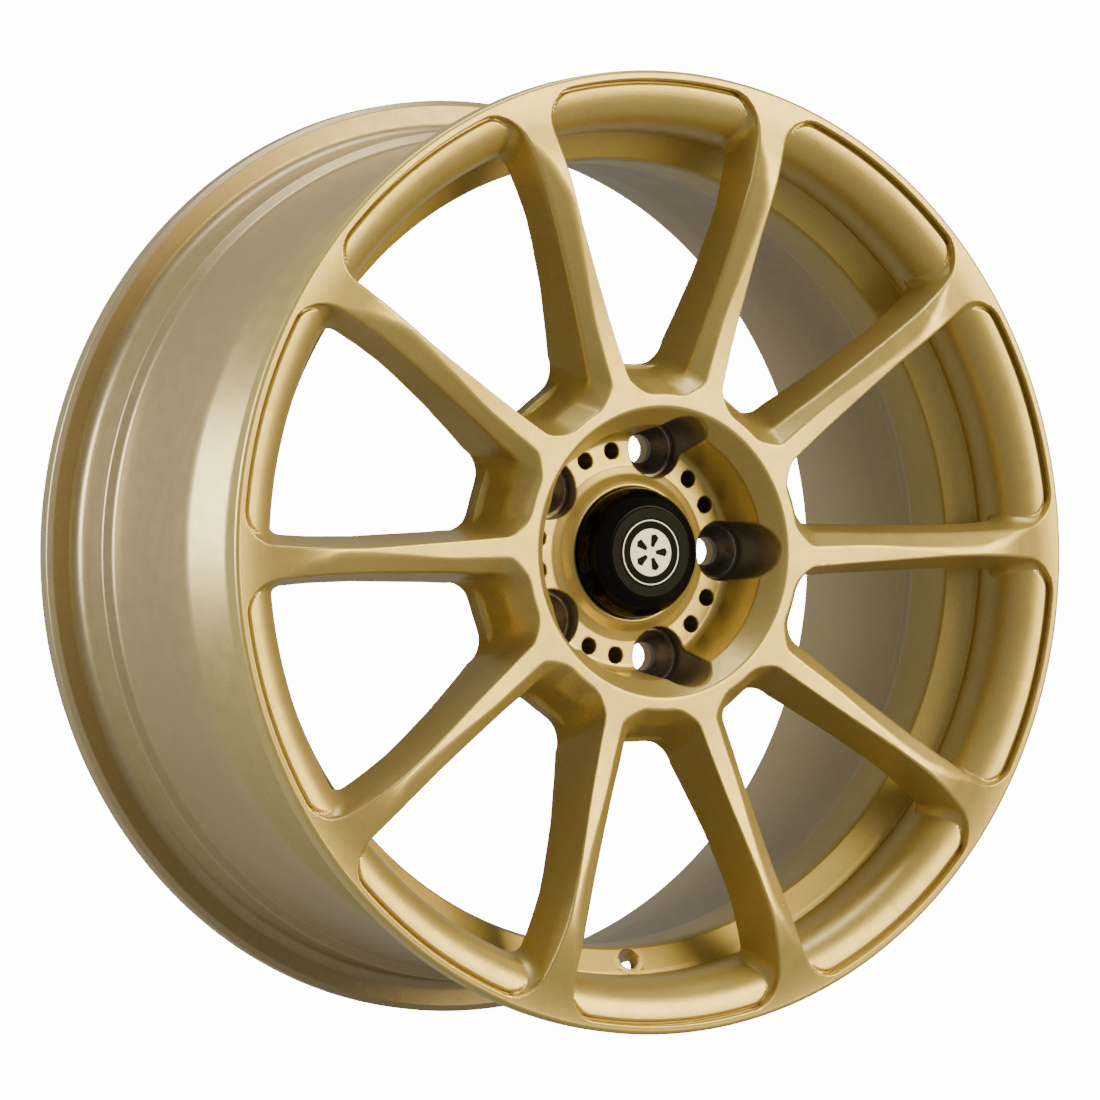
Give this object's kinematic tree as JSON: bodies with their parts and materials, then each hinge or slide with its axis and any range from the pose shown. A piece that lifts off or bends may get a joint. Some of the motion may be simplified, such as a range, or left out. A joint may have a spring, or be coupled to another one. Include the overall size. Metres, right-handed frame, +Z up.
{
  "type": "forged racing wheel rim",
  "caption": "One-piece forged car wheel with slim bevelled spokes, deep hub bowl, steel lug seats and a raised centre cap.",
  "frame": {"origin": "centre of the wheel's bounding box, on the wheel's axis, halfway between the spokes' crest and the rear lip", "axes": "+Y along the wheel's axis towards the vehicle, so the outer face looks along -Y; +Z up; +X to the right seen from outside"},
  "size_m": [0.4969, 0.2362, 0.497],
  "materials": {
    "gold_paint": "satin gold coat on forged aluminium",
    "seat_steel": "turned steel",
    "cap_plastic": "moulded, glossy",
    "badge_foil": "bright embossed foil",
    "spring_wire": "drawn spring wire"
  },
  "bodies": {
    "wheel": {"rim_barrel": "gold_paint", "hub_centre": "gold_paint", "spoke_01": "gold_paint", "spoke_02": "gold_paint", "spoke_03": "gold_paint", "spoke_04": "gold_paint", "spoke_05": "gold_paint", "spoke_06": "gold_paint", "spoke_07": "gold_paint", "spoke_08": "gold_paint", "spoke_09": "gold_paint", "spoke_10": "gold_paint", "lug_seat_1": "seat_steel", "lug_seat_2": "seat_steel", "lug_seat_3": "seat_steel", "lug_seat_4": "seat_steel", "lug_seat_5": "seat_steel"},
    "centre_cap": {"cap_shell": "cap_plastic", "cap_badge": "badge_foil", "cap_retaining_ring": "spring_wire"}
  },
  "joints": [
    {"name": "cap_pull_off", "type": "slide", "parent": "wheel", "child": "centre_cap", "axis": [0, -1, 0], "range_m": [0, 0.06]}
  ]
}
